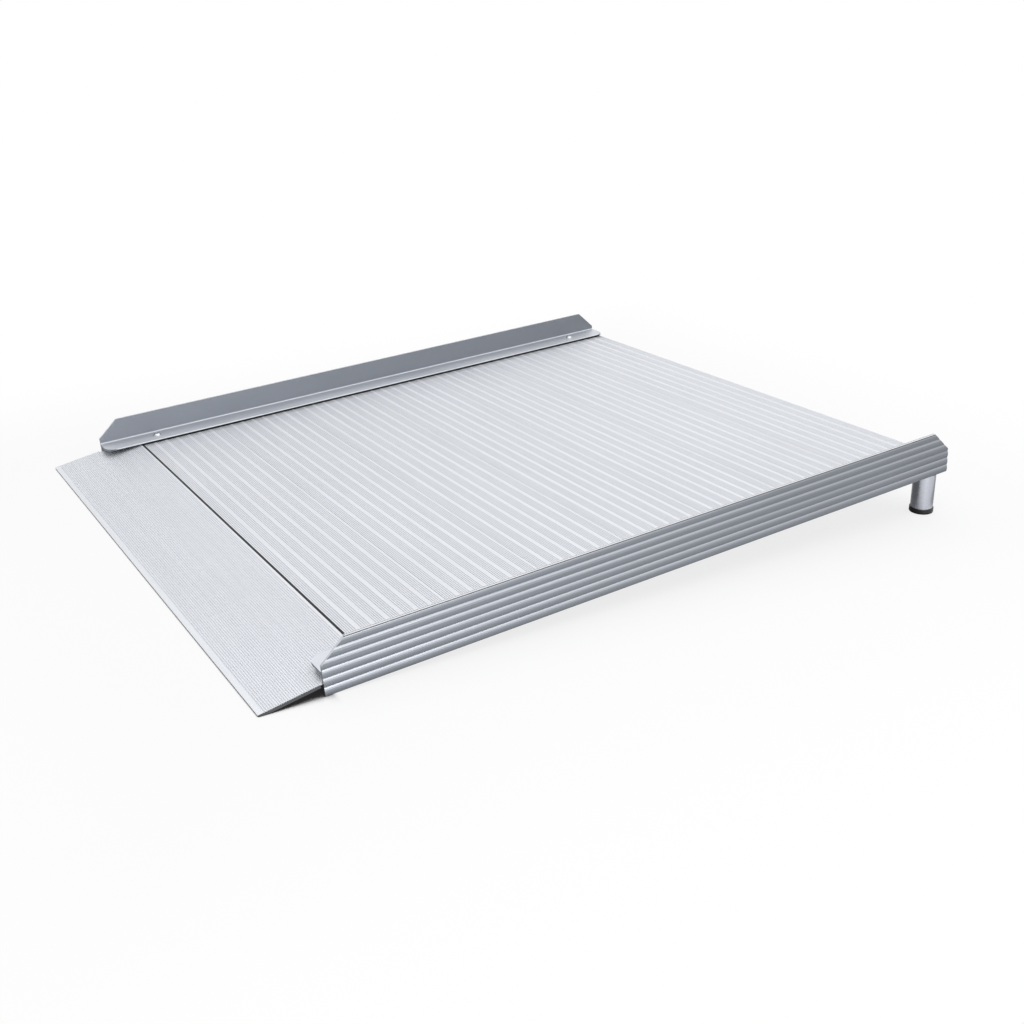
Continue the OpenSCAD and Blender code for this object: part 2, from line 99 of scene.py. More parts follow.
class NodePad:
    """Adds nodes to a tree and links them.

    Args:
        tree: The node tree to write in.
    """

    def __init__(self, tree: bpy.types.NodeTree) -> None:
        """Keeps the tree."""
        self.tree = tree

    @classmethod
    def blank(cls, owner: bpy.types.Material | bpy.types.World) -> "NodePad":
        """Empties the node tree of a material or a world.

        Args:
            owner: The material or world.

        Returns:
            A pad on its tree.
        """
        owner.use_nodes = True
        owner.node_tree.nodes.clear()
        return cls(owner.node_tree)

    def add(self, kind: str, inputs: dict[Any, Any] | None = None, **settings: Any) -> bpy.types.Node:
        """Adds a node.

        Args:
            kind: The node's type name.
            inputs: Values or sockets for its inputs, by name or number.
            settings: Properties of the node.

        Returns:
            The new node.
        """
        node = self.tree.nodes.new(kind)
        for key, value in settings.items():
            setattr(node, key, value)
        for key, value in (inputs or {}).items():
            self.feed(node.inputs[key], value)
        return node

    def feed(self, socket: Wire, value: Any) -> None:
        """Links an input to a socket, or sets its value.

        Args:
            socket: The input.
            value: A socket or a plain value.
        """
        if isinstance(value, bpy.types.NodeSocket):
            self.tree.links.new(value, socket)
        else:
            socket.default_value = value

    def math(self, operation: str, *values: Any, clamp: bool = False) -> Wire:
        """Adds a Math node and gives its result, kept between 0 and 1 with clamp."""
        node = self.add("ShaderNodeMath", dict(enumerate(values)), operation=operation, use_clamp=clamp)
        return node.outputs[0]

    def times(self, *factors: Any) -> Wire:
        """Multiplies numbers or sockets."""
        return reduce(lambda product, factor: self.math("MULTIPLY", product, factor), factors)

    def most(self, *values: Any) -> Wire:
        """The greatest of some numbers or sockets."""
        return reduce(lambda greatest, value: self.math("MAXIMUM", greatest, value), values)

    def vector(self, operation: str, *values: Any) -> Wire:
        """Adds a Vector Math node and gives its result, which is a number for a dot product."""
        node = self.add("ShaderNodeVectorMath", dict(enumerate(values)), operation=operation)
        return node.outputs["Value" if operation == "DOT_PRODUCT" else "Vector"]

    def split(self, vector: Wire) -> Any:
        """Splits a vector into outputs named X, Y and Z."""
        return self.add("ShaderNodeSeparateXYZ", {0: vector}).outputs

    def join(self, x: Any = 0.0, y: Any = 0.0, z: Any = 0.0) -> Wire:
        """Joins three numbers to a vector."""
        return self.add("ShaderNodeCombineXYZ", {0: x, 1: y, 2: z}).outputs[0]

    def place(self) -> Wire:
        """The place on the object."""
        return self.add("ShaderNodeTexCoord").outputs["Object"]

    def normal(self) -> Wire:
        """The surface's normal."""
        return self.add("ShaderNodeNewGeometry").outputs["Normal"]

    def noise(self, place: Wire, scale: Any, detail: float, rough: float = 0.5, warp: float = 0.0) -> Wire:
        """Adds a noise around 0.5, from its scale per metre, its finer layers and their strength."""
        inputs = {"Vector": place, "Scale": scale, "Detail": detail, "Roughness": rough, "Distortion": warp}
        return self.add("ShaderNodeTexNoise", inputs).outputs[0]

    def ramp(self, value: Any, low: Any, high: Any, to_low: Any = 0.0, to_high: Any = 1.0) -> Wire:
        """Maps a value from one range smoothly to another.

        Args:
            value: The number to map.
            low: Start of its range.
            high: End of its range.
            to_low: Result at the start.
            to_high: Result at the end.

        Returns:
            The mapped value.
        """
        node = self.add("ShaderNodeMapRange", interpolation_type="SMOOTHSTEP")
        for key, part in enumerate((value, low, high, to_low, to_high)):
            self.feed(node.inputs[key], part)
        return node.outputs[0]

    def blend(self, factor: Any, first: Any, second: Any, mode: str = "MIX") -> Wire:
        """Mixes two colours, where the factor is the share of the second one."""
        inputs = {0: factor, 6: first, 7: second}
        return self.add("ShaderNodeMix", inputs, data_type="RGBA", blend_type=mode).outputs[2]

    def group(self, tree: bpy.types.NodeTree, inputs: dict[str, Any]) -> Any:
        """Places a shader node group with its own input values and gives its outputs."""
        return self.add("ShaderNodeGroup", inputs, node_tree=tree).outputs


SOCKET_KINDS = {float: "Float", int: "Int", tuple: "Vector"}
MASK = {"Mask": "Float"}
GEOMETRY = {"Geometry": "Geometry"}


def start_tree(
    name: str, inputs: dict[str, Any], outputs: dict[str, Any], kind: TreeKind = TreeKind.SHADER
) -> tuple[NodePad, Any, Any]:
    """Starts a node group with named sockets.

    Args:
        name: The group's name.
        inputs: Its inputs by name, each with its default, or with its kind where it has none.
        outputs: Its outputs by name, with their kinds.
        kind: Shader or geometry.

    Returns:
        The pad, what the group is given and what it puts out.
    """
    tree = bpy.data.node_groups.new(name, kind.value)
    for way, sockets in (("INPUT", inputs), ("OUTPUT", outputs)):
        for label, value in sockets.items():
            bare = isinstance(value, str)
            socket_kind = "NodeSocket" + (value if bare else SOCKET_KINDS[type(value)])
            item = tree.interface.new_socket(name=label, in_out=way, socket_type=socket_kind)
            if not bare:
                item.default_value = value
    pad = NodePad(tree)
    return pad, pad.add("NodeGroupInput").outputs, pad.add("NodeGroupOutput").inputs


# Shared effects


class Effects:
    """The shader node groups that the finishes share."""

    def __init__(self) -> None:
        """Builds each group once."""
        self.grain = self._drawn_grain()
        self.haze = self._haze()
        self.wear = self._edge_wear()
        self.dust = self._settled_dust()
        self.mark = self._painted_light_box()

    @staticmethod
    def _drawn_grain() -> bpy.types.NodeTree:
        """Fine lines left by drawing or extrusion, as a height and a streak mask.

        Returns:
            The group.
        """
        broad_lines = 0.35
        broad_share = 0.4
        inputs = {"Place": "Vector", "Stretch": (1.0, 1.0, 1.0), "Lines": 900.0}
        pad, given, out = start_tree("Drawn grain", inputs, {"Height": "Float", "Streak": "Float"})
        pulled = pad.vector("MULTIPLY", given["Place"], given["Stretch"])
        fine = pad.noise(pulled, given["Lines"], detail=3.0, rough=0.6)
        broad = pad.noise(pulled, pad.times(given["Lines"], broad_lines), detail=2.0)
        height = pad.math("MULTIPLY_ADD", broad, broad_share, pad.times(fine, 1.0 - broad_share))
        pad.feed(out["Height"], height)
        pad.feed(out["Streak"], pad.ramp(broad, low=0.35, high=0.65))
        return pad.tree

    @staticmethod
    def _haze() -> bpy.types.NodeTree:
        """Cloudy handling marks as a mask around 0.5.

        Returns:
            The group.
        """
        pad, given, out = start_tree("Haze", {"Place": "Vector", "Size": 0.1}, MASK)
        scale = pad.math("DIVIDE", 1.0, given["Size"])
        clouds = pad.noise(given["Place"], scale, detail=4.0, rough=0.55, warp=0.4)
        pad.feed(out["Mask"], pad.ramp(clouds, low=0.3, high=0.7))
        return pad.tree

    @staticmethod
    def _edge_wear() -> bpy.types.NodeTree:
        """Rubbed edges: where the surface turns within a small radius, broken up by noise.

        Returns:
            The group.
        """
        pad, given, out = start_tree("Edge wear", {"Place": "Vector", "Radius": 0.0006, "Amount": 0.5}, MASK)
        rounded = pad.add("ShaderNodeBevel", {"Radius": given["Radius"]}, samples=4).outputs[0]
        cosine = pad.vector("DOT_PRODUCT", rounded, pad.normal())
        turn = pad.ramp(cosine, low=0.995, high=0.9)
        chips = pad.ramp(pad.noise(given["Place"], scale=260.0, detail=3.0), low=0.35, high=0.62)
        pad.feed(out["Mask"], pad.times(turn, chips, given["Amount"]))
        return pad.tree

    @staticmethod
    def _settled_dust() -> bpy.types.NodeTree:
        """Fine dust that settles on faces looking up, thicker in patches.

        Returns:
            The group.
        """
        pad, given, out = start_tree("Settled dust", {"Place": "Vector", "Amount": 0.1}, MASK)
        facing = pad.ramp(pad.split(pad.normal())["Z"], low=0.5, high=1.0)
        patch = pad.ramp(pad.noise(given["Place"], scale=22.0, detail=5.0), low=0.35, high=0.75)
        speck = pad.ramp(pad.noise(given["Place"], scale=2400.0, detail=1.0), low=0.4, high=0.7)
        pad.feed(out["Mask"], pad.times(patch, speck, facing, given["Amount"]))
        return pad.tree

    @staticmethod
    def _painted_light_box() -> bpy.types.NodeTree:
        """A box with soft sides, the same on the left and the right, where light or shade is painted.

        Returns:
            The group.
        """
        inputs = {"Place": "Vector", "Low": "Vector", "High": "Vector", "Soft": 0.0003, "Strength": 1.0}
        pad, given, out = start_tree("Painted light box", inputs, MASK)
        parts = pad.split(given["Place"])
        folded = pad.join(pad.math("ABSOLUTE", parts["X"]), parts["Y"], parts["Z"])
        below = pad.vector("SUBTRACT", given["Low"], folded)
        above = pad.vector("SUBTRACT", folded, given["High"])
        outside = pad.split(pad.vector("MAXIMUM", below, above))
        widest = pad.most(outside["X"], outside["Y"], outside["Z"])
        inside = pad.ramp(pad.times(widest, -1.0), 0.0, given["Soft"])
        pad.feed(out["Mask"], pad.times(inside, given["Strength"]))
        return pad.tree


# Finishes


@dataclass(frozen=True)
class PaintedLightBox:
    """Painted shade in a gap or a painted highlight on an edge, as a box in axes turned with the piece.

    Args:
        low: Lower corner, with x as a distance from the middle.
        high: Upper corner.
        strength: How far it covers the finish.
        soft: Width of its soft sides.
        colour: Colour of the painted shade or of the painted highlight.
    """

    low: Point
    high: Point
    strength: float = 0.95
    soft: float = 0.0003
    colour: Colour = (0.008, 0.008, 0.01)


@dataclass(frozen=True, kw_only=True)
class Finish:
    """What the metal and rubber finishes share.

    Args:
        name: The finish's name.
        colour: Base colour.
        roughness: Mean roughness.
        haze_size: Size of the cloudy marks.
        haze: Change of roughness from the cloudy marks.
        edge: Strength of the rubbed edges.
        edge_radius: How far in from an edge it is rubbed.
        dust: Amount of dust.
        dust_colour: Colour of the dust.
        depth: Height of the grain or of the moulded skin.
        strength: Strength of its bump.
    """

    name: str
    colour: Colour
    roughness: float
    haze_size: float = 0.12
    haze: float = 0.06
    edge: float = 0.5
    edge_radius: float = 0.0007
    dust: float = 0.12
    dust_colour: Colour = (0.62, 0.60, 0.57)
    depth: float = 0.000008
    strength: float = 0.6

    def _start(self, effects: Effects) -> tuple[bpy.types.Material, NodePad, Wire, Wire, Wire]:
        """Starts the material and places the effects of age in it.

        Args:
            effects: The shared node groups.

        Returns:
            The material, its pad and the masks of haze, rubbed edges and dust.
        """
        material = bpy.data.materials.new(self.name)
        pad = NodePad.blank(material)
        place = pad.place()
        haze = pad.group(effects.haze, {"Place": place, "Size": self.haze_size})["Mask"]
        edges = {"Place": place, "Radius": self.edge_radius, "Amount": self.edge}
        wear = pad.group(effects.wear, edges)["Mask"]
        dust = pad.group(effects.dust, {"Place": place, "Amount": self.dust})["Mask"]
        return material, pad, haze, wear, dust

    def _end(self, pad: NodePad, height: Wire, inputs: dict[str, Any]) -> None:
        """Ends the material in one shader with a bump.

        Args:
            pad: The material's pad.
            height: Height of the bump.
            inputs: The shader's colour, roughness and metal.
        """
        relief = {"Strength": self.strength, "Distance": self.depth, "Height": height}
        bump = pad.add("ShaderNodeBump", relief)
        surface = pad.add("ShaderNodeBsdfPrincipled", {**inputs, "Normal": bump.outputs[0]})
        pad.add("ShaderNodeOutputMaterial", {"Surface": surface.outputs[0]})


@dataclass(frozen=True, kw_only=True)
class MetalFinish(Finish):
    """A metal with drawn grain, haze, rubbed edges and a little dust, with painted highlights and painted
    shade.

    Args:
        metallic: Share of metal in the reflection.
        grain: The way the grain runs.
        tilt: Slope of the piece about x, for the grain's direction.
        lines: Fineness of the grain, per metre.
        contrast: Darkening between streaks.
        spread: Change of roughness between streaks.
        upper: Colour of faces that look up, a painted highlight for light from above.
        marks: Boxes of painted shade in gaps and of painted highlights on edges.
    """

    metallic: float
    grain: Grain = Grain.NONE
    tilt: float = 0.0
    lines: float = 900.0
    contrast: float = 0.03
    spread: float = 0.04
    upper: Colour | None = None
    marks: tuple[PaintedLightBox, ...] = ()

    def build(self, effects: Effects) -> bpy.types.Material:
        """Makes the material.

        Args:
            effects: The shared node groups.

        Returns:
            The material.
        """
        material, pad, haze, wear, dust = self._start(effects)
        mapping = {"Vector": pad.place(), "Rotation": (-self.tilt, 0.0, 0.0)}
        turned = pad.add("ShaderNodeMapping", mapping).outputs[0]
        grain = pad.group(effects.grain, {"Place": turned, "Stretch": self.grain.value, "Lines": self.lines})

        colour: Any = rgba(self.colour)
        # painted highlight: faces that look up turn towards the upper colour
        if self.upper is not None:
            up = pad.ramp(pad.split(pad.normal())["Z"], low=0.0, high=0.7)
            colour = pad.blend(up, colour, rgba(self.upper))
        streaks = pad.math("MULTIPLY_ADD", grain["Streak"], self.contrast, 1.0 - self.contrast)
        colour = pad.blend(1.0, colour, pad.join(streaks, streaks, streaks), "MULTIPLY")
        whiteness, dust_rough = 0.45, 0.3
        lighter = tuple(min(1.0, part * (1.0 - whiteness) + whiteness) for part in self.colour)
        colour = pad.blend(wear, colour, rgba(lighter))
        colour = pad.blend(dust, colour, rgba(self.dust_colour))
        metallic: Any = self.metallic
        # painted shade and painted highlights, box by box; each also takes away the metal
        for mark in self.marks:
            box = {"Low": mark.low, "High": mark.high, "Soft": mark.soft, "Strength": mark.strength}
            painted_mask = pad.group(effects.mark, {"Place": turned, **box})["Mask"]
            colour = pad.blend(painted_mask, colour, rgba(mark.colour))
            metallic = pad.times(metallic, pad.math("SUBTRACT", 1.0, painted_mask))
        rough = pad.math("MULTIPLY_ADD", grain["Streak"], self.spread, self.roughness - self.spread / 2)
        rough = pad.math("MULTIPLY_ADD", pad.math("SUBTRACT", haze, 0.5), self.haze, rough)
        rough = pad.math("MULTIPLY_ADD", dust, dust_rough, rough, clamp=True)
        self._end(pad, grain["Height"], {"Base Color": colour, "Roughness": rough, "Metallic": metallic})
        return material


@dataclass(frozen=True, kw_only=True)
class RubberFinish(Finish):
    """Matt black rubber with a fine moulded skin and scuffed edges.

    Args:
        scuffed: Colour of scuffed edges.
        skin: Fineness of the moulded skin, per metre.
    """

    scuffed: Colour
    roughness: float = 0.62
    haze_size: float = 0.03
    haze: float = 0.14
    edge: float = 0.6
    edge_radius: float = 0.0009
    dust: float = 0.2
    dust_colour: Colour = (0.3, 0.29, 0.28)
    depth: float = 0.00005
    strength: float = 0.5
    skin: float = 3500.0

    def build(self, effects: Effects) -> bpy.types.Material:
        """Makes the material.

        Args:
            effects: The shared node groups.

        Returns:
            The material.
        """
        material, pad, haze, wear, dust = self._start(effects)
        colour = pad.blend(wear, rgba(self.colour), rgba(self.scuffed))
        colour = pad.blend(dust, colour, rgba(self.dust_colour))
        rough = pad.math("MULTIPLY_ADD", haze, self.haze, self.roughness - self.haze / 2)
        height = pad.noise(pad.place(), self.skin, detail=2.0)
        self._end(pad, height, {"Base Color": colour, "Roughness": rough, "Metallic": 0.0})
        return material


# Meshes


@dataclass(frozen=True)
class Ring:
    """A ring of points round the z axis.

    Args:
        z: Its height.
        reach: Radius at an angle in radians.
    """

    z: float
    reach: Callable[[float], float]


def round_ring(z: float, radius: float) -> Ring:
    """A circular ring."""
    return Ring(z, lambda _angle: radius)


def hexagon(angle: float, flats: float) -> float:
    """Radius of a hexagon at an angle in radians, from the distance across its flats."""
    sixth = math.pi / 3
    return flats / 2 / math.cos((angle % sixth) - sixth / 2)


def smooth_by_angle(mesh: bpy.types.Mesh, degrees: float) -> None:
    """Shades a mesh smooth, with sharp edges above an angle.

    Args:
        mesh: The mesh.
        degrees: The angle.
    """
    for face in mesh.polygons:
        face.use_smooth = True
    mesh.set_sharp_from_angle(angle=math.radians(degrees))


def skin(rings: Sequence[Ring], steps: int, closed: bool) -> bpy.types.Mesh:
    """Joins rings into a closed mesh.

    Args:
        rings: The rings in order.
        steps: Points in each ring.
        closed: Whether the last ring joins the first; the ends are capped otherwise.

    Returns:
        The mesh with its normals outwards.
    """
    shape = bmesh.new()
    rows = []
    for ring in rings:
        row = []
        for step in range(steps):
            angle = 2 * math.pi * step / steps
            radius = ring.reach(angle)
            row.append(shape.verts.new((radius * math.cos(angle), radius * math.sin(angle), ring.z)))
        rows.append(row)
    pairs = list(zip(rows, rows[1:]))
    if closed:
        pairs.append((rows[-1], rows[0]))
    for low, high in pairs:
        for step in range(steps):
            after = (step + 1) % steps
            shape.faces.new((low[step], low[after], high[after], high[step]))
    if not closed:
        for row, ring in ((rows[0], rings[0]), (rows[-1], rings[-1])):
            middle = shape.verts.new((0.0, 0.0, ring.z))
            for step in range(steps):
                shape.faces.new((row[step], row[(step + 1) % steps], middle))
    bmesh.ops.recalc_face_normals(shape, faces=shape.faces)
    mesh = bpy.data.meshes.new("ringed")
    shape.to_mesh(mesh)
    shape.free()
    return mesh


def put(name: str, mesh: bpy.types.Mesh) -> bpy.types.Object:
    """Puts a mesh in the scene.

    Args:
        name: The object's name.
        mesh: Its mesh.

    Returns:
        The object, at the origin.
    """
    thing = bpy.data.objects.new(name, mesh)
    bpy.context.scene.collection.objects.link(thing)
    return thing


def middle_of(points: Sequence[Vector]) -> Vector:
    """Middle of the box round some points.

    Args:
        points: The points.

    Returns:
        The middle.
    """
    low = Vector([min(point[axis] for point in points) for axis in range(3)])
    high = Vector([max(point[axis] for point in points) for axis in range(3)])
    return (low + high) / 2


def solids_of(node: bpy.types.Object) -> list[list[Vector]]:
    """Points of each separate solid of a CAD node.

    Args:
        node: The node's object.

    Returns:
        A list of points for each solid, ordered by x and then y of its middle.
    """
    shape = bmesh.new()
    shape.from_mesh(node.data)
    bmesh.ops.remove_doubles(shape, verts=shape.verts, dist=0.001 * MM)
    shape.verts.ensure_lookup_table()
    seen: set[int] = set()
    solids = []
    for start in shape.verts:
        if start.index in seen:
            continue
        seen.add(start.index)
        stack, points = [start], []
        while stack:
            vert = stack.pop()
            points.append(vert.co.copy())
            for edge in vert.link_edges:
                other = edge.other_vert(vert)
                if other.index not in seen:
                    seen.add(other.index)
                    stack.append(other)
        solids.append(points)
    shape.free()
    return sorted(solids, key=lambda points: tuple(round(part, 3) for part in middle_of(points)))


def merged_copy(node: bpy.types.Object, name: str, degrees: float) -> bpy.types.Object:
    """Copies a CAD node with its points merged and its curved faces shaded smooth.

    Args:
        node: The node's object.
        name: The copy's name.
        degrees: Edges above this angle stay sharp.

    Returns:
        The copy.
    """
    shape = bmesh.new()
    shape.from_mesh(node.data)
    bmesh.ops.remove_doubles(shape, verts=shape.verts, dist=0.002 * MM)
    bmesh.ops.dissolve_degenerate(shape, edges=shape.edges, dist=0.0001 * MM)
    mesh = bpy.data.meshes.new(name)
    shape.to_mesh(mesh)
    shape.free()
    smooth_by_angle(mesh, degrees)
    return put(name, mesh)


# Geometry node trees


class Recipe:
    """A Geometry Nodes tree that turns a base mesh into a piece.

    Args:
        tree: The tree, with its geometry as first input.
    """

    def __init__(self, tree: bpy.types.NodeTree) -> None:
        """Keeps the tree and the identifiers of its inputs."""
        self.tree = tree
        self.keys = {
            item.name: item.identifier
            for item in tree.interface.items_tree
            if item.item_type == "SOCKET" and item.in_out == "INPUT"
        }

    def make(self, name: str, base: bpy.types.Mesh, values: dict[str, Any]) -> bpy.types.Object:
        """Runs the tree and keeps the result as a plain mesh.

        Args:
            name: Name of the piece.
            base: The mesh that the tree starts from.
            values: Values of the named inputs.

        Returns:
            The piece, without a modifier.
        """
        holder = put(name + "_base", base)
        modifier = holder.modifiers.new("make", "NODES")
        modifier.node_group = self.tree
        for key, value in values.items():
            modifier[self.keys[key]] = value
        graph = bpy.context.evaluated_depsgraph_get()
        mesh = bpy.data.meshes.new_from_object(holder.evaluated_get(graph), depsgraph=graph)
        mesh.name = name
        bpy.data.objects.remove(holder)
        return put(name, mesh)


def end_tree(pad: NodePad, out: Any, result: Wire, finish: Wire) -> Recipe:
    """Ends a geometry tree in Realize Instances and Set Material.

    Args:
        pad: The tree's pad.
        out: What the tree puts out.
        result: The geometry to finish.
        finish: The material.

    Returns:
        The finished recipe.
    """
    real = pad.add("GeometryNodeRealizeInstances", {"Geometry": result}).outputs[0]
    dressed = pad.add("GeometryNodeSetMaterial", {"Geometry": real, "Material": finish}).outputs[0]
    pad.feed(out[0], dressed)
    return Recipe(pad.tree)


def fastener_recipe() -> Recipe:
    """Puts one fastener on each point, leaning with the deck and turned at random about its axis.

    Returns:
        The recipe, with inputs Part, Lean, Seed and Finish.
    """
    inputs = {**GEOMETRY, "Part": "Object", "Lean": 0.0, "Seed": 1, "Finish": "Material"}
    pad, given, out = start_tree("Fasteners on points", inputs, GEOMETRY, TreeKind.GEOMETRY)
    part = pad.add("GeometryNodeObjectInfo", {"Object": given["Part"], "As Instance": True})
    leaning = pad.join(x=given["Lean"])
    placing = {"Points": given[0], "Instance": part.outputs["Geometry"], "Rotation": leaning}
    placed = pad.add("GeometryNodeInstanceOnPoints", placing).outputs[0]
    angles = {2: 0.0, 3: 2 * math.pi, "Seed": given["Seed"]}
    spin = pad.add("FunctionNodeRandomValue", angles, data_type="FLOAT").outputs[1]
    turning = {"Instances": placed, "Rotation": pad.join(z=spin), "Local Space": True}
    turned = pad.add("GeometryNodeRotateInstances", turning).outputs[0]
    return end_tree(pad, out, turned, given["Finish"])


def thread_recipe() -> Recipe:
    """Cuts a helical thread round an upright rod.

    Returns:
        The recipe, with inputs Length, Crest, Pitch, Depth, Rows, Foot and Finish.
    """
    sizes = {"Length": 0.06, "Crest": 0.005, "Pitch": 0.0015, "Depth": 0.0009, "Rows": 240}
    inputs = {**GEOMETRY, **sizes, "Foot": "Vector", "Finish": "Material"}
    pad, given, out = start_tree("Threaded rod", inputs, GEOMETRY, TreeKind.GEOMETRY)
    sides = {"Vertices": 40, "Side Segments": given["Rows"]}
    rod_sizes = {**sides, "Radius": given["Crest"], "Depth": given["Length"]}
    rod = pad.add("GeometryNodeMeshCylinder", rod_sizes, fill_type="TRIANGLE_FAN").outputs[0]
    parts = pad.split(pad.add("GeometryNodeInputPosition").outputs[0])
    turn = pad.math("DIVIDE", pad.math("ARCTAN2", parts["Y"], parts["X"]), 2 * math.pi)
    phase = pad.math("ADD", pad.math("DIVIDE", parts["Z"], given["Pitch"]), turn)
    flank = pad.ramp(pad.times(pad.math("PINGPONG", phase, 0.5), 2.0), low=0.1, high=0.9)
    half = pad.math("DIVIDE", given["Length"], 2.0)
    to_end = pad.math("SUBTRACT", half, pad.math("ABSOLUTE", parts["Z"]))
    lead = pad.ramp(to_end, 0.0, given["Depth"], 1.0, 0.0)
    cut = pad.times(pad.most(flank, lead), given["Depth"])
    outwards = pad.vector("NORMALIZE", pad.join(parts["X"], parts["Y"]))
    scaling = {0: outwards, "Scale": pad.times(cut, -1.0)}
    inwards = pad.add("ShaderNodeVectorMath", scaling, operation="SCALE").outputs[0]
    moved = pad.add("GeometryNodeSetPosition", {"Geometry": rod, "Offset": inwards}).outputs[0]
    stood = pad.add("GeometryNodeTransform", {"Geometry": moved, "Translation": given["Foot"]}).outputs[0]
    return end_tree(pad, out, stood, given["Finish"])


# The ramp


def box_middle(name: str) -> Vector:
    """Middle of a CAD node's box."""
    low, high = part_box(name)
    return (Vector(low) + Vector(high)) / 2


@dataclass(frozen=True)
class PlateFrame:
    """Place and slope of the deck or of the flap.

    Args:
        slope: Slope of the plate in radians.
        hinge: Place of its hinge end, as y and z.
    """

    slope: float
    hinge: tuple[float, float] = (-303.194 * MM, 22.246 * MM)

    @classmethod
    def from_planks(cls) -> "PlateFrame":
        """Finds the slope from two like planks."""
        low, high = (box_middle(f"plank_{number}") for number in (2, 6))
        return cls(math.atan2(high.z - low.z, high.y - low.y))

    def turned(self, across: float, along: float, above: float) -> Point:
        """Turns a place on the plate into axes that lean with it.

        Args:
            across: Distance from the ramp's middle, in millimetres.
            along: Distance up the slope from the hinge end, in millimetres.
            above: Height over the hinge end, square to the plate, in millimetres.

        Returns:
            The place that a finish turned by the plate's slope reads there.
        """
        y, z = self.hinge
        cosine, sine = math.cos(self.slope), math.sin(self.slope)
        return (across * MM, y * cosine + z * sine + along * MM, z * cosine - y * sine + above * MM)


def dress(node: bpy.types.Object, finish: bpy.types.Material) -> None:
    """Gives a mesh one material in all its slots.

    Args:
        node: The mesh's object.
        finish: The material.
    """
    if not node.data.materials:
        node.data.materials.append(finish)
    for number in range(len(node.data.materials)):
        node.data.materials[number] = finish


PLATE = MetalFinish(
    name="Plate aluminium",
    colour=(0.75, 0.77, 0.81),
    roughness=0.44,
    metallic=0.5,
    grain=Grain.ACROSS,
    edge=0.12,
    edge_radius=0.00025,
    dust=0.06,
)

ZINC = MetalFinish(
    name="Zinc plate",
    colour=(0.62, 0.63, 0.64),
    roughness=0.38,
    metallic=0.95,
    haze_size=0.01,
    edge_radius=0.0004,
)


@dataclass
class Workshop:
    """What every sub-assembly needs.

    Args:
        nodes: The CAD nodes by name.
        deck: Place and slope of the deck.
        effects: The shared node groups.
        fasteners: Recipe for fasteners on points.
        thread: Recipe for threaded rods.
    """

    nodes: dict[str, bpy.types.Object]
    deck: PlateFrame
    effects: Effects = field(default_factory=Effects)
    fasteners: Recipe = field(default_factory=fastener_recipe)
    thread: Recipe = field(default_factory=thread_recipe)

    def fasten(
        self, name: str, shape: bpy.types.Mesh, places: Sequence[Vector], values: dict[str, Any]
    ) -> bpy.types.Object:
        """Puts a fastener on each of some places.

        Args:
            name: Name of the piece.
            shape: Mesh of one fastener.
            places: Where they stand.
            values: The recipe's Lean, Seed and Finish.

        Returns:
            The piece.
        """
        part = put(name + "_pattern", shape)
        base = bpy.data.meshes.new(name + "_places")
        base.from_pydata([tuple(place) for place in places], [], [])
        piece = self.fasteners.make(name, base, {"Part": part, **values})
        bpy.data.objects.remove(part)
        log.info("%s: %d", name, len(places))
        return piece


@dataclass
class Deck:
    """The seven hooked planks.

    Args:
        shop: Shared tools.
        count: Number of planks.
    """

    shop: Workshop
    count: int = 7

    def dress(self) -> None:
        """Gives the planks their finish, with painted shade at the kerbs, the hinge, in the grooves and at
        the sides.
        """
        at = self.shop.deck.turned
        marks = (
            # painted shade under the rails' flanges
            PaintedLightBox(at(313.1, -50, -0.9), at(360, 750, 5)),
            # painted shade in the hinge gap
            PaintedLightBox(at(0, -10, -9), at(400, 1.9, 1)),
            # painted shade in the grooves and joints
            PaintedLightBox(at(0, -10, -1.2), at(400, 750, -0.05), strength=0.16, soft=0.0004),
            # the shade beside the kerbs
            PaintedLightBox(at(299, -100, -40), at(400, 800, 40), strength=0.4, soft=0.016),
        )
        finish = replace(PLATE, name="Deck aluminium", tilt=self.shop.deck.slope, marks=marks)
        satin = finish.build(self.shop.effects)
        for number in range(1, self.count + 1):
            dress(self.shop.nodes[f"plank_{number}"], satin)
        log.info("deck: %d planks", self.count)


@dataclass
class Flap:
    """The hinged approach flap and its floor strip.

    Args:
        shop: Shared tools.
        colour: Colour of the satin aluminium.
        roughness: Its roughness.
        plate: Place and slope of the flap, from its hinge axis.
        top: Height of its top over the hinge axis, in millimetres.
    """

    shop: Workshop
    colour: Colour = (0.77, 0.79, 0.83)
    roughness: float = 0.42
    plate: PlateFrame = PlateFrame(math.radians(11.431), (-302.459 * MM, 16.281 * MM))
    top: float = 5.85

    def dress(self) -> None:
        """Gives the flap its finish, with painted shade at hinge, grooves and ends, and the strip its
        rubber.
        """
        at = self.plate.turned
        marks = (
            # painted shade at the hinge bead
            PaintedLightBox(at(0, -0.5, -9), at(400, 10, 9)),
            # painted shade in the grooves
            PaintedLightBox(at(0, -130, self.top - 1.2), at(400, 10, self.top - 0.05), strength=0.1, soft=0.0004),
            # painted shade on the cut ends
            PaintedLightBox(at(349.8, -130, -9), at(400, 10, 9), strength=0.93, soft=0.0001),
        )
        satin = replace(PLATE, name="Flap aluminium", colour=self.colour, roughness=self.roughness)
        finish = replace(satin, tilt=self.plate.slope, marks=marks)
        dress(self.shop.nodes["approach_flap"], finish.build(self.shop.effects))
        rubber = RubberFinish(name="Strip rubber", colour=(0.02, 0.02, 0.022), scuffed=(0.09, 0.09, 0.09))
        dress(self.shop.nodes["floor_strip"], rubber.build(self.shop.effects))
        log.info("flap and floor strip")


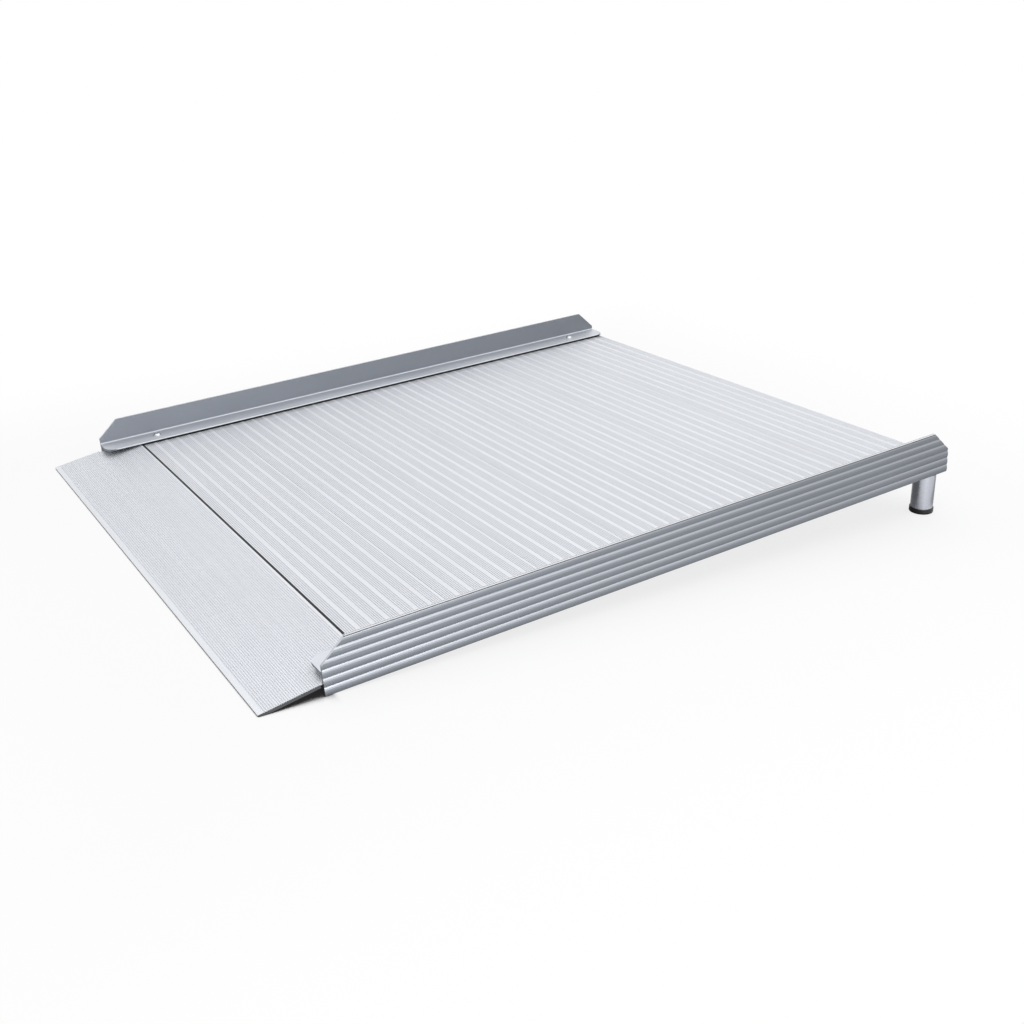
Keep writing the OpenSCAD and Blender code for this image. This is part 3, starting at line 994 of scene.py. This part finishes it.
@dataclass
class Rails:
    """The ribbed kerb rails and the leg blocks under them.

    Args:
        shop: Shared tools.
        colour: Colour of the anodised rails.
        upper: Their colour where they look up, a painted highlight.
        rubbed: Colour of the painted highlight along the kerbs' tops.
        smooth: Edges above this angle in degrees stay sharp.
    """

    shop: Workshop
    colour: Colour = (0.245, 0.262, 0.292)
    upper: Colour = (0.60, 0.62, 0.66)
    rubbed: Colour = (0.86, 0.87, 0.90)
    smooth: float = 18.0

    def build(self) -> None:
        """Copies the rails with their ribs shaded smooth, and dresses rails and leg blocks."""
        at = self.shop.deck.turned
        marks = (
            # painted shade under the flange's edge over the planks
            PaintedLightBox(at(310, -2, -1), at(319.2, 698, 1.6)),
            # painted highlight along the kerb's top
            PaintedLightBox(at(347, -60, 30.2), at(360, 750, 33), strength=0.85, soft=0.0002, colour=self.rubbed),
            # painted shade under the lip outside
            PaintedLightBox(at(348.6, -60, 29.0), at(349.95, 750, 29.95), strength=0.85, soft=0.00015),
            # painted shade in the groove beside the lip
            PaintedLightBox(at(347.6, -60, 29.5), at(348.6, 750, 31), strength=0.45, soft=0.0002),
        )
        finish = MetalFinish(
            name="Rail aluminium",
            colour=self.colour,
            metallic=0.92,
            roughness=0.5,
            grain=Grain.ALONG,
            tilt=self.shop.deck.slope,
            lines=1200.0,
            edge=0.25,
            edge_radius=0.0004,
            dust=0.1,
            upper=self.upper,
            marks=marks,
        ).build(self.shop.effects)
        for side in ("left", "right"):
            rail = merged_copy(self.shop.nodes[f"{side}_rail"], f"{side}_kerb_rail", self.smooth)
            dress(rail, finish)
            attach(rail, "deck")
            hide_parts(f"{side}_rail")
            dress(self.shop.nodes[f"{side}_leg_block"], finish)
            log.info("%s rail and leg block", side)


@dataclass
class Screws:
    """The button-head screws that hold the rails, and the nut bars below.

    Args:
        shop: Shared tools.
        head_radius: Radius of the head.
        head_height: Height of the head.
        socket: Distance across the flats of the socket.
        socket_depth: Depth of the socket.
        shank: Radius of the shank.
        length: Length of the shank.
        steps: Points round the screw.
        seed: Seed of each screw's turn.
    """

    shop: Workshop
    head_radius: float = 5.25 * MM
    head_height: float = 3.3 * MM
    socket: float = 4.0 * MM
    socket_depth: float = 2.0 * MM
    shank: float = 3.0 * MM
    length: float = 14.0 * MM
    steps: int = 72
    seed: int = 7

    def rings(self) -> list[Ring]:
        """Rings of the shank and of the domed head with its rounded rim and hexagonal socket.

        Returns:
            The rings from the shank's tip to the bottom of the socket.
        """
        radius, height, socket = self.head_radius, self.head_height, self.socket
        dome = (radius**2 + height**2) / (2 * height)
        dome_steps = 8
        foot, rim, rim_height = radius * 0.94, radius * 0.985, 0.12 * MM
        land, flare, flare_depth = socket * 0.68, 1.06, 0.15 * MM
        drill_point, drill_depth = socket * 0.15, 0.5 * MM
        tip, tip_length = self.shank * 0.8, 0.6 * MM
        rings = [
            round_ring(-self.length, tip),
            round_ring(-self.length + tip_length, self.shank),
            round_ring(0.0, self.shank),
            round_ring(0.0, foot),
            round_ring(rim_height, rim),
        ]
        for step in range(1, dome_steps + 1):
            across = rim + (land - rim) * step / dome_steps
            rings.append(round_ring(height - dome + math.sqrt(dome**2 - across**2), across))
        top, bottom = rings[-1].z, height - self.socket_depth
        rings.append(Ring(top, lambda angle: hexagon(angle, socket) * flare))
        rings.append(Ring(top - flare_depth, lambda angle: hexagon(angle, socket)))
        rings.append(Ring(bottom, lambda angle: hexagon(angle, socket)))
        rings.append(round_ring(bottom - drill_depth, drill_point))
        return rings

    def build(self) -> None:
        """Makes the screws on the CAD screws' places and dresses the nut bars."""
        steel = MetalFinish(
            name="Stainless steel",
            colour=(0.52, 0.53, 0.55),
            metallic=1.0,
            roughness=0.22,
            grain=Grain.ROUND,
            lines=1500.0,
            haze_size=0.004,
            edge_radius=0.0003,
            dust=0.05,
        ).build(self.shop.effects)
        slope = self.shop.deck.slope
        up = Vector((0.0, -math.sin(slope), math.cos(slope)))
        places = []
        for points in solids_of(self.shop.nodes["rail_screws"]):
            middle = middle_of(points)
            tip = min(point.dot(up) for point in points)
            places.append(middle + up * (tip + self.length - middle.dot(up)))
        shape = skin(self.rings(), self.steps, closed=False)
        smooth_by_angle(shape, degrees=28.0)
        values = {"Lean": slope, "Seed": self.seed, "Finish": steel}
        screws = self.shop.fasten("button_head_screws", shape, places, values)
        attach(screws, "deck")
        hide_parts("rail_screws")
        dress(self.shop.nodes["nut_bars"], ZINC.build(self.shop.effects))
        log.info("nut bars")


@dataclass
class Legs:
    """The screw-adjusted legs: tubes, inserts, caps, studs, washers and clamp nuts.

    Args:
        shop: Shared tools.
        tube_colour: Colour of the anodised tube.
        pitch: Pitch of the stud's thread.
        depth: Depth of the stud's thread.
        rows: Rows of points in each turn of the thread.
        steps: Points round a nut.
        seed: Seed of each nut's turn.
    """

    shop: Workshop
    tube_colour: Colour = (0.58, 0.60, 0.66)
    pitch: float = 1.5 * MM
    depth: float = 0.92 * MM
    rows: int = 8
    steps: int = 72
    seed: int = 3

    def nut_rings(self, flats: float, height: float, bore: float) -> list[Ring]:
        """Rings of a nut with its corners chamfered at both ends.

        Args:
            flats: Distance across the flats.
            height: Height of the nut.
            bore: Radius of the bore.

        Returns:
            The rings, the last of which joins the first.
        """
        chamfer = 0.07 * flats
        bore_chamfer = 0.5 * MM
        half = flats / 2
        rows = [(0.0, 0.95 * half), (chamfer / 2, 1.04 * half), (chamfer, 1.2 * half)]
        outer = [Ring(z, lambda angle, most=most: min(hexagon(angle, flats), most)) for z, most in rows]
        upper = [Ring(height - ring.z, ring.reach) for ring in reversed(outer)]
        inner = [
            round_ring(height, bore + bore_chamfer),
            round_ring(height - bore_chamfer, bore),
            round_ring(bore_chamfer, bore),
            round_ring(0.0, bore + bore_chamfer),
        ]
        return [*outer, *upper, *inner]

    def build_nuts(self, zinc: bpy.types.Material) -> None:
        """Makes the clamp nuts with chamfered corners on the CAD nuts' places.

        Args:
            zinc: Their finish.
        """
        places, flats, height, bore = [], 0.0, 0.0, 0.0
        for points in solids_of(self.shop.nodes["clamp_nuts"]):
            middle = middle_of(points)
            low = min(point.z for point in points)
            height = max(point.z for point in points) - low
            radii = [math.hypot(point.x - middle.x, point.y - middle.y) for point in points]
            flats = max(radii) * math.sqrt(3)
            bore = min(radii)
            places.append(Vector((middle.x, middle.y, low)))
        rings = self.nut_rings(flats, height, bore)
        shape = skin(rings, self.steps, closed=True)
        smooth_by_angle(shape, degrees=20.0)
        values = {"Lean": 0.0, "Seed": self.seed, "Finish": zinc}
        nuts = self.shop.fasten("chamfered_clamp_nuts", shape, places, values)
        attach(nuts, "deck")
        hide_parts("clamp_nuts")

    def build_stud(self, side: str, zinc: bpy.types.Material) -> None:
        """Makes one threaded stud on its CAD rod.

        Args:
            side: Side of the ramp.
            zinc: Its finish.
        """
        low, high = (Vector(corner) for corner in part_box(f"{side}_stud"))
        length = high.z - low.z
        values = {
            "Length": length,
            "Crest": (high.x - low.x) / 2,
            "Pitch": self.pitch,
            "Depth": self.depth,
            "Rows": int(length / self.pitch * self.rows),
            "Foot": (low + high) / 2,
            "Finish": zinc,
        }
        base = bpy.data.meshes.new(f"{side}_stud_base")
        stud = self.shop.thread.make(f"{side}_threaded_stud", base, values)
        smooth_by_angle(stud.data, degrees=40.0)
        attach(stud, "deck")
        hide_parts(f"{side}_stud")
        log.info("%s stud: %.1f mm long", side, length / MM)

    def build(self) -> None:
        """Makes and dresses both legs."""
        effects = self.shop.effects
        darker = replace(ZINC, name="Stud zinc", colour=(0.55, 0.56, 0.57))
        zinc = replace(darker, roughness=0.36, edge_radius=0.0003).build(effects)
        tube = MetalFinish(
            name="Leg aluminium",
            colour=self.tube_colour,
            metallic=1.0,
            roughness=0.26,
            grain=Grain.UPRIGHT,
            lines=1600.0,
            contrast=0.015,
            spread=0.02,
            depth=0.000003,
            dust=0.05,
        ).build(effects)
        rubber = RubberFinish(
            name="Cap rubber", colour=(0.006, 0.006, 0.007), scuffed=(0.02, 0.02, 0.02), roughness=0.34
        ).build(effects)
        dress(self.shop.nodes["taper_washers"], zinc)
        for side in ("left", "right"):
            for part, body, finish, slot in (
                ("leg_tube", "leg", tube, "leg_aluminium"),
                ("foot_cap", "foot", rubber, "rubber"),
            ):
                name = f"{side}_{part}"
                piece = merged_copy(self.shop.nodes[name], f"{name}_smooth", degrees=25.0)
                dress(piece, finish)
                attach(piece, f"{side}_{body}")
                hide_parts(name)
            dress(self.shop.nodes[f"{side}_insert"], zinc)
            self.build_stud(side, zinc)
            log.info("%s leg", side)
        self.build_nuts(zinc)


# Studio


@dataclass(frozen=True)
class PhotoCamera:
    """The photograph's camera, found by fitting edges of the ramp.

    Args:
        place: Its place.
        yaw: Heading in degrees, to the left of the y axis.
        pitch: Angle below the horizon in degrees.
        roll: Roll in degrees.
        focal: Focal length in pixels of a 1024 pixel frame.
        centre: Principal point in pixels.
        frame: Width of the frame in pixels.
        sensor: Width of the sensor in millimetres.
        clip: Distances between which it sees.
    """

    place: Point = (1.214059, -0.679312, 0.529802)
    yaw: float = 56.8309
    pitch: float = 20.6863
    roll: float = -0.0636
    focal: float = 1252.039
    centre: tuple[float, float] = (559.157, 484.485)
    frame: float = 1024.0
    sensor: float = 36.0
    clip: tuple[float, float] = (0.01, 50.0)

    def build(self) -> None:
        """Makes the camera and sets it as the scene's own."""
        yaw, pitch, roll = (math.radians(angle) for angle in (self.yaw, self.pitch, self.roll))
        ahead = Vector((-math.sin(yaw) * math.cos(pitch), math.cos(yaw) * math.cos(pitch), -math.sin(pitch)))
        flat = Vector((math.cos(yaw), math.sin(yaw), 0.0))
        tall = flat.cross(ahead)
        right = math.cos(roll) * flat + math.sin(roll) * tall
        up = -math.sin(roll) * flat + math.cos(roll) * tall
        lens = bpy.data.cameras.new("photo_camera")
        lens.sensor_width = self.sensor
        lens.lens = self.focal * self.sensor / self.frame
        lens.shift_x = (self.frame / 2 - self.centre[0]) / self.frame
        lens.shift_y = (self.centre[1] - self.frame / 2) / self.frame
        lens.clip_start, lens.clip_end = self.clip
        camera = bpy.data.objects.new("photo_camera", lens)
        turn = Matrix((right, up, -ahead)).transposed().to_4x4()
        camera.matrix_world = Matrix.Translation(self.place) @ turn
        bpy.context.scene.collection.objects.link(camera)
        bpy.context.scene.camera = camera


@dataclass(frozen=True)
class Lamp:
    """A soft white rectangular lamp.

    Args:
        name: Its name.
        place: Its place.
        aim: The point that it faces.
        size: Its two sides.
        glow: Its radiance, where a white wall at the same level would be 1.
    """

    name: str
    place: Point
    aim: Point
    size: tuple[float, float]
    glow: float

    def build(self) -> None:
        """Puts the lamp in the scene."""
        light = bpy.data.lights.new(self.name, "AREA")
        light.shape = "RECTANGLE"
        light.size, light.size_y = self.size
        light.energy = self.glow * math.pi * self.size[0] * self.size[1]
        lamp = bpy.data.objects.new(self.name, light)
        lamp.location = self.place
        lamp.rotation_euler = (Vector(self.aim) - Vector(self.place)).to_track_quat("-Z", "Y").to_euler()
        bpy.context.scene.collection.objects.link(lamp)


@dataclass(frozen=True)
class Studio:
    """The pale floor, the white surroundings and the lamps.

    Args:
        lamps: The lamps.
        fill: Level of the plain light from all round.
        floor_colour: Colour of the floor.
        floor_size: Side of the floor.
        under: Colour painted on the floor as deep shade under the ramp.
        footprint: Half sides of the ramp's footprint.
        flap_zone: Where the floor under the flap ends and where it is all under it, along y.
        shade_reach: Height under which that part of the floor gets painted deep shade.
        mirror_reach: The same height for the floor seen in a reflection.
        mirror_depth: How deep the painted shade is in a reflection.
        sky: Shares of open sky between which the painted shade deepens.
        deepest: Depth of the painted shade where it is deepest.
        rear_zone: Where painted shade darkens the floor close behind the ramp in reflections and where it
            clears, along y.
        rear_side: Distances beside the footprint between which that painted shade sets in.
        rear_glow: Level of that floor in reflections, under its painted shade.
        rear_loss: What the floor beside the ramp loses to painted shade in reflections towards the rear.
        lift: Own glow of the floor near the ramp, as the camera sees it.
        clear: Distances from the footprint between which the floor turns plain white.
    """

    lamps: tuple[Lamp, ...]
    fill: float = 0.48
    floor_colour: Colour = (0.93, 0.93, 0.93)
    floor_size: float = 30.0
    under: Colour = (0.012, 0.012, 0.012)
    footprint: tuple[float, float] = (0.35, 0.40)
    flap_zone: tuple[float, float] = (-0.334, -0.34)
    shade_reach: float = 0.05
    mirror_reach: float = 0.3
    mirror_depth: float = 0.85
    sky: tuple[float, float] = (0.66, 0.4)
    deepest: float = 0.98
    rear_zone: tuple[float, float, float, float] = (0.385, 0.43, 0.5, 0.6)
    rear_side: tuple[float, float] = (0.06, 0.02)
    rear_glow: float = 0.4
    rear_loss: float = 0.1
    lift: float = 0.78
    clear: tuple[float, float] = (0.02, 0.45)

    @staticmethod
    def _seen(pad: NodePad) -> Wire:
        """A mask of the rays that show the background: camera, gloss and glass."""
        rays = pad.add("ShaderNodeLightPath").outputs
        return pad.most(rays["Is Camera Ray"], rays["Is Glossy Ray"], rays["Is Transmission Ray"])

    def build_world(self) -> None:
        """White surroundings where they are seen, and plain light where they are not."""
        world = bpy.data.worlds.new("studio")
        pad = NodePad.blank(world)
        lit = pad.add("ShaderNodeBackground", {"Color": rgba(WHITE), "Strength": self.fill})
        seen = pad.add("ShaderNodeBackground", {"Color": rgba(WHITE), "Strength": 1.0})
        both = pad.add("ShaderNodeMixShader", {0: self._seen(pad), 1: lit.outputs[0], 2: seen.outputs[0]})
        pad.add("ShaderNodeOutputWorld", {"Surface": both.outputs[0]})
        bpy.context.scene.world = world

    def _shades(self, pad: NodePad, along: Wire, beside: Wire) -> tuple[Wire, Wire]:
        """The floor's painted deep shade, and its painted level in what reflects it.

        Args:
            pad: The floor's pad.
            along: Place along y.
            beside: Distance beside the footprint.

        Returns:
            The depth of the painted shade, and the level, which is 1 where the floor is seen plainly.
        """
        mirrored = pad.add("ShaderNodeLightPath").outputs["Is Glossy Ray"]
        reach = pad.math("MULTIPLY_ADD", mirrored, self.mirror_reach - self.shade_reach, self.shade_reach)
        # painted shade: the floor darkens where little open sky is over it, under the flap and in
        # reflections
        sky = pad.add("ShaderNodeAmbientOcclusion", {"Distance": reach}, samples=8).outputs["AO"]
        painted_mask = pad.ramp(sky, *self.sky, 0.0, self.deepest)
        under_flap = pad.ramp(along, *self.flap_zone)
        deep = pad.times(painted_mask, pad.most(under_flap, pad.times(mirrored, self.mirror_depth)))
        # painted shade in reflections close behind the ramp, and beside it towards the rear
        start, full, fading, end = self.rear_zone
        side = pad.ramp(beside, *self.rear_side, 0.0, 1.0 - self.rear_glow)
        rear = pad.times(pad.ramp(along, start, full), pad.ramp(along, end, fading), side)
        rearward = pad.ramp(along, -self.footprint[1], start, 0.0, self.rear_loss)
        level = pad.math("SUBTRACT", 1.0, pad.times(mirrored, pad.most(rear, rearward)))
        return deep, level

    def build_floor(self) -> None:
        """A large pale floor that keeps the ramp's shadow, with painted deep shade under the flap and in
        reflections, and fades to white further out.
        """
        half = self.floor_size / 2
        corners = [(-half, -half, 0.0), (half, -half, 0.0), (half, half, 0.0), (-half, half, 0.0)]
        mesh = bpy.data.meshes.new("floor")
        mesh.from_pydata(corners, [], [(0, 1, 2, 3)])
        floor = put("studio_floor", mesh)
        material = bpy.data.materials.new("Pale floor")
        pad = NodePad.blank(material)
        parts = pad.split(pad.place())
        beside = pad.math("SUBTRACT", pad.math("ABSOLUTE", parts["X"]), self.footprint[0])
        before = pad.math("SUBTRACT", pad.math("ABSOLUTE", parts["Y"]), self.footprint[1])
        deep, level = self._shades(pad, parts["Y"], beside)
        open_floor = pad.ramp(pad.most(beside, before), *self.clear, self.lift, 1.0)
        share = pad.times(self._seen(pad), pad.times(open_floor, pad.math("SUBTRACT", 1.0, deep)))
        # painted shade: the floor's colour turns to the under colour where the shade is deep
        shaded = pad.blend(deep, rgba(self.floor_colour), rgba(self.under))
        shade = pad.blend(1.0, shaded, pad.join(level, level, level), "MULTIPLY")
        paint = pad.add("ShaderNodeBsdfDiffuse", {"Color": shade}).outputs[0]
        glow = pad.add("ShaderNodeEmission", {"Color": rgba(WHITE), "Strength": level}).outputs[0]
        both = pad.add("ShaderNodeMixShader", {0: share, 1: paint, 2: glow}).outputs[0]
        behind = pad.add("ShaderNodeNewGeometry").outputs["Backfacing"]
        through = pad.add("ShaderNodeBsdfTransparent").outputs[0]
        one_sided = pad.add("ShaderNodeMixShader", {0: behind, 1: both, 2: through}).outputs[0]
        pad.add("ShaderNodeOutputMaterial", {"Surface": one_sided})
        mesh.materials.append(material)

    def build(self) -> None:
        """Sets up the floor, the surroundings and the lamps."""
        bpy.context.scene.view_settings.view_transform = "Standard"
        self.build_world()
        self.build_floor()
        for lamp in self.lamps:
            lamp.build()


def main() -> None:
    """Loads the frame, dresses each sub-assembly and sets up the studio."""
    logging.basicConfig(level=logging.INFO, format="%(name)s: %(message)s")
    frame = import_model()
    shop = Workshop(frame["nodes"], PlateFrame.from_planks())
    log.info("deck slope %.3f degrees", math.degrees(shop.deck.slope))
    Deck(shop).dress()
    Flap(shop).dress()
    Rails(shop).build()
    Screws(shop).build()
    Legs(shop).build()
    overhead = Lamp("overhead", (0.0, 0.2, 1.9), (0.0, 0.0, 0.0), (3.6, 3.0), 0.88)
    side = Lamp("side", (1.75, -0.3, 0.18), (0.3, -0.15, 0.08), (1.4, 0.3), 10.0)
    Studio((overhead, side)).build()
    PhotoCamera().build()


if __name__ == "__main__":
    main()
